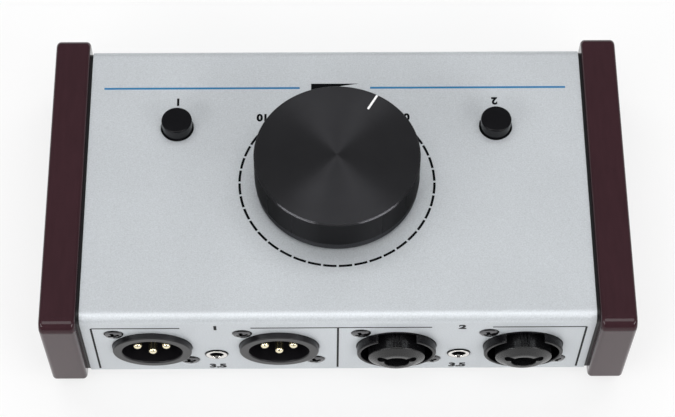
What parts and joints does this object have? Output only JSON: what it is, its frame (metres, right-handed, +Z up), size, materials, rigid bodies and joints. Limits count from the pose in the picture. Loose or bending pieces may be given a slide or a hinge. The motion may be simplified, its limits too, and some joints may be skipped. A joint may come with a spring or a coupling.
{
  "type": "studio monitor controller",
  "caption": "Wedge-shaped desktop monitor controller: wooden cheeks, a volume knob and push buttons on top, balanced pin sockets, combination sockets and small stereo jacks behind.",
  "frame": {"origin": "on the table, under the middle of the footprint", "axes": "+X to the user's right, +Y to the rear socket panel, +Z up"},
  "size_m": [0.154, 0.0922, 0.0523],
  "materials": {
    "cover_paint": "satin silver paint with a fine texture",
    "tray_paint": "satin black paint",
    "cheek_lacquer": "dark red-brown gloss lacquer",
    "knob_anodised": "black anodised with a turned face",
    "pointer_white": "white paint fill",
    "cap_black": "glossy moulded black",
    "socket_shell": "moulded dark grey with a slight sheen",
    "socket_black": "moulded black",
    "insert_grey": "moulded mid grey",
    "contact_gold": "pale gold plating",
    "jack_nickel": "bright nickel plating",
    "screw_dark": "dark chrome plating",
    "screw_steel": "zinc plated",
    "spring_steel": "bright drawn wire",
    "pot_metal": "zinc plated",
    "pot_phenolic": "brown laminate",
    "carbon_track": "printed carbon",
    "rotor_plastic": "moulded off-white",
    "switch_plastic": "moulded dark grey",
    "plunger_plastic": "moulded white",
    "lead_tin": "tinned",
    "board_green": "solder mask on glass laminate",
    "ribbon_grey": "soft grey insulation",
    "plug_plastic": "moulded black",
    "foot_rubber": "moulded black"
  },
  "bodies": {
    "chassis": {"base_tray": "tray_paint", "board_screws": "screw_steel", "cheek_screws": "screw_steel", "connector_board": "board_green", "connector_screws": "screw_dark", "connector_standoffs": "pot_metal", "control_board": "board_green", "control_standoffs": "pot_metal", "cover_screws": "screw_steel", "input_1_contacts": "contact_gold", "input_1_housing": "socket_black", "input_1_insert": "insert_grey", "input_1_jack_springs": "spring_steel", "input_2_contacts": "contact_gold", "input_2_housing": "socket_black", "input_2_insert": "insert_grey", "input_2_jack_springs": "spring_steel", "input_mini_jack_barrel": "jack_nickel", "input_mini_jack_body": "socket_black", "input_mini_jack_contacts": "lead_tin", "left_cheek": "cheek_lacquer", "mono_return_spring": "spring_steel", "mono_switch_body": "switch_plastic", "mute_return_spring": "spring_steel", "mute_switch_body": "switch_plastic", "output_1_insert": "socket_black", "output_1_pins": "contact_gold", "output_1_shell": "socket_shell", "output_2_insert": "socket_black", "output_2_pins": "contact_gold", "output_2_shell": "socket_shell", "output_mini_jack_barrel": "jack_nickel", "output_mini_jack_body": "socket_black", "output_mini_jack_contacts": "lead_tin", "pot_bushing": "pot_metal", "pot_cases": "pot_phenolic", "pot_nut": "pot_metal", "pot_rear_plate": "pot_metal", "pot_terminals": "lead_tin", "pot_tracks": "carbon_track", "pot_washer": "pot_metal", "ribbon_cable": "ribbon_grey", "ribbon_plugs": "plug_plastic", "right_cheek": "cheek_lacquer", "rubber_feet": "foot_rubber", "switch_pins": "lead_tin", "top_cover": "cover_paint"},
    "volume": {"volume_knob": "knob_anodised", "pointer_inlay": "pointer_white", "knob_grub_screw": "screw_steel", "pot_shaft": "pot_metal", "pot_rotors": "rotor_plastic"},
    "mono_button": {"mono_cap": "cap_black", "mono_plunger": "plunger_plastic"},
    "mute_button": {"mute_cap": "cap_black", "mute_plunger": "plunger_plastic"}
  },
  "joints": [
    {"name": "volume_turn", "type": "hinge", "parent": "chassis", "child": "volume", "pos_m": [0, -0.00014, 0.03578], "axis": [0, 0.1478, -0.989], "range_deg": [0, 300]},
    {"name": "mono_press", "type": "slide", "parent": "chassis", "child": "mono_button", "axis": [0, 0.1478, -0.989], "range_m": [0, 0.0022], "stiffness_N_per_m": 600, "springref_m": -0.002, "deforming": ["mono_return_spring"]},
    {"name": "mute_press", "type": "slide", "parent": "chassis", "child": "mute_button", "axis": [0, 0.1478, -0.989], "range_m": [0, 0.0022], "stiffness_N_per_m": 600, "springref_m": -0.002, "deforming": ["mute_return_spring"]}
  ]
}
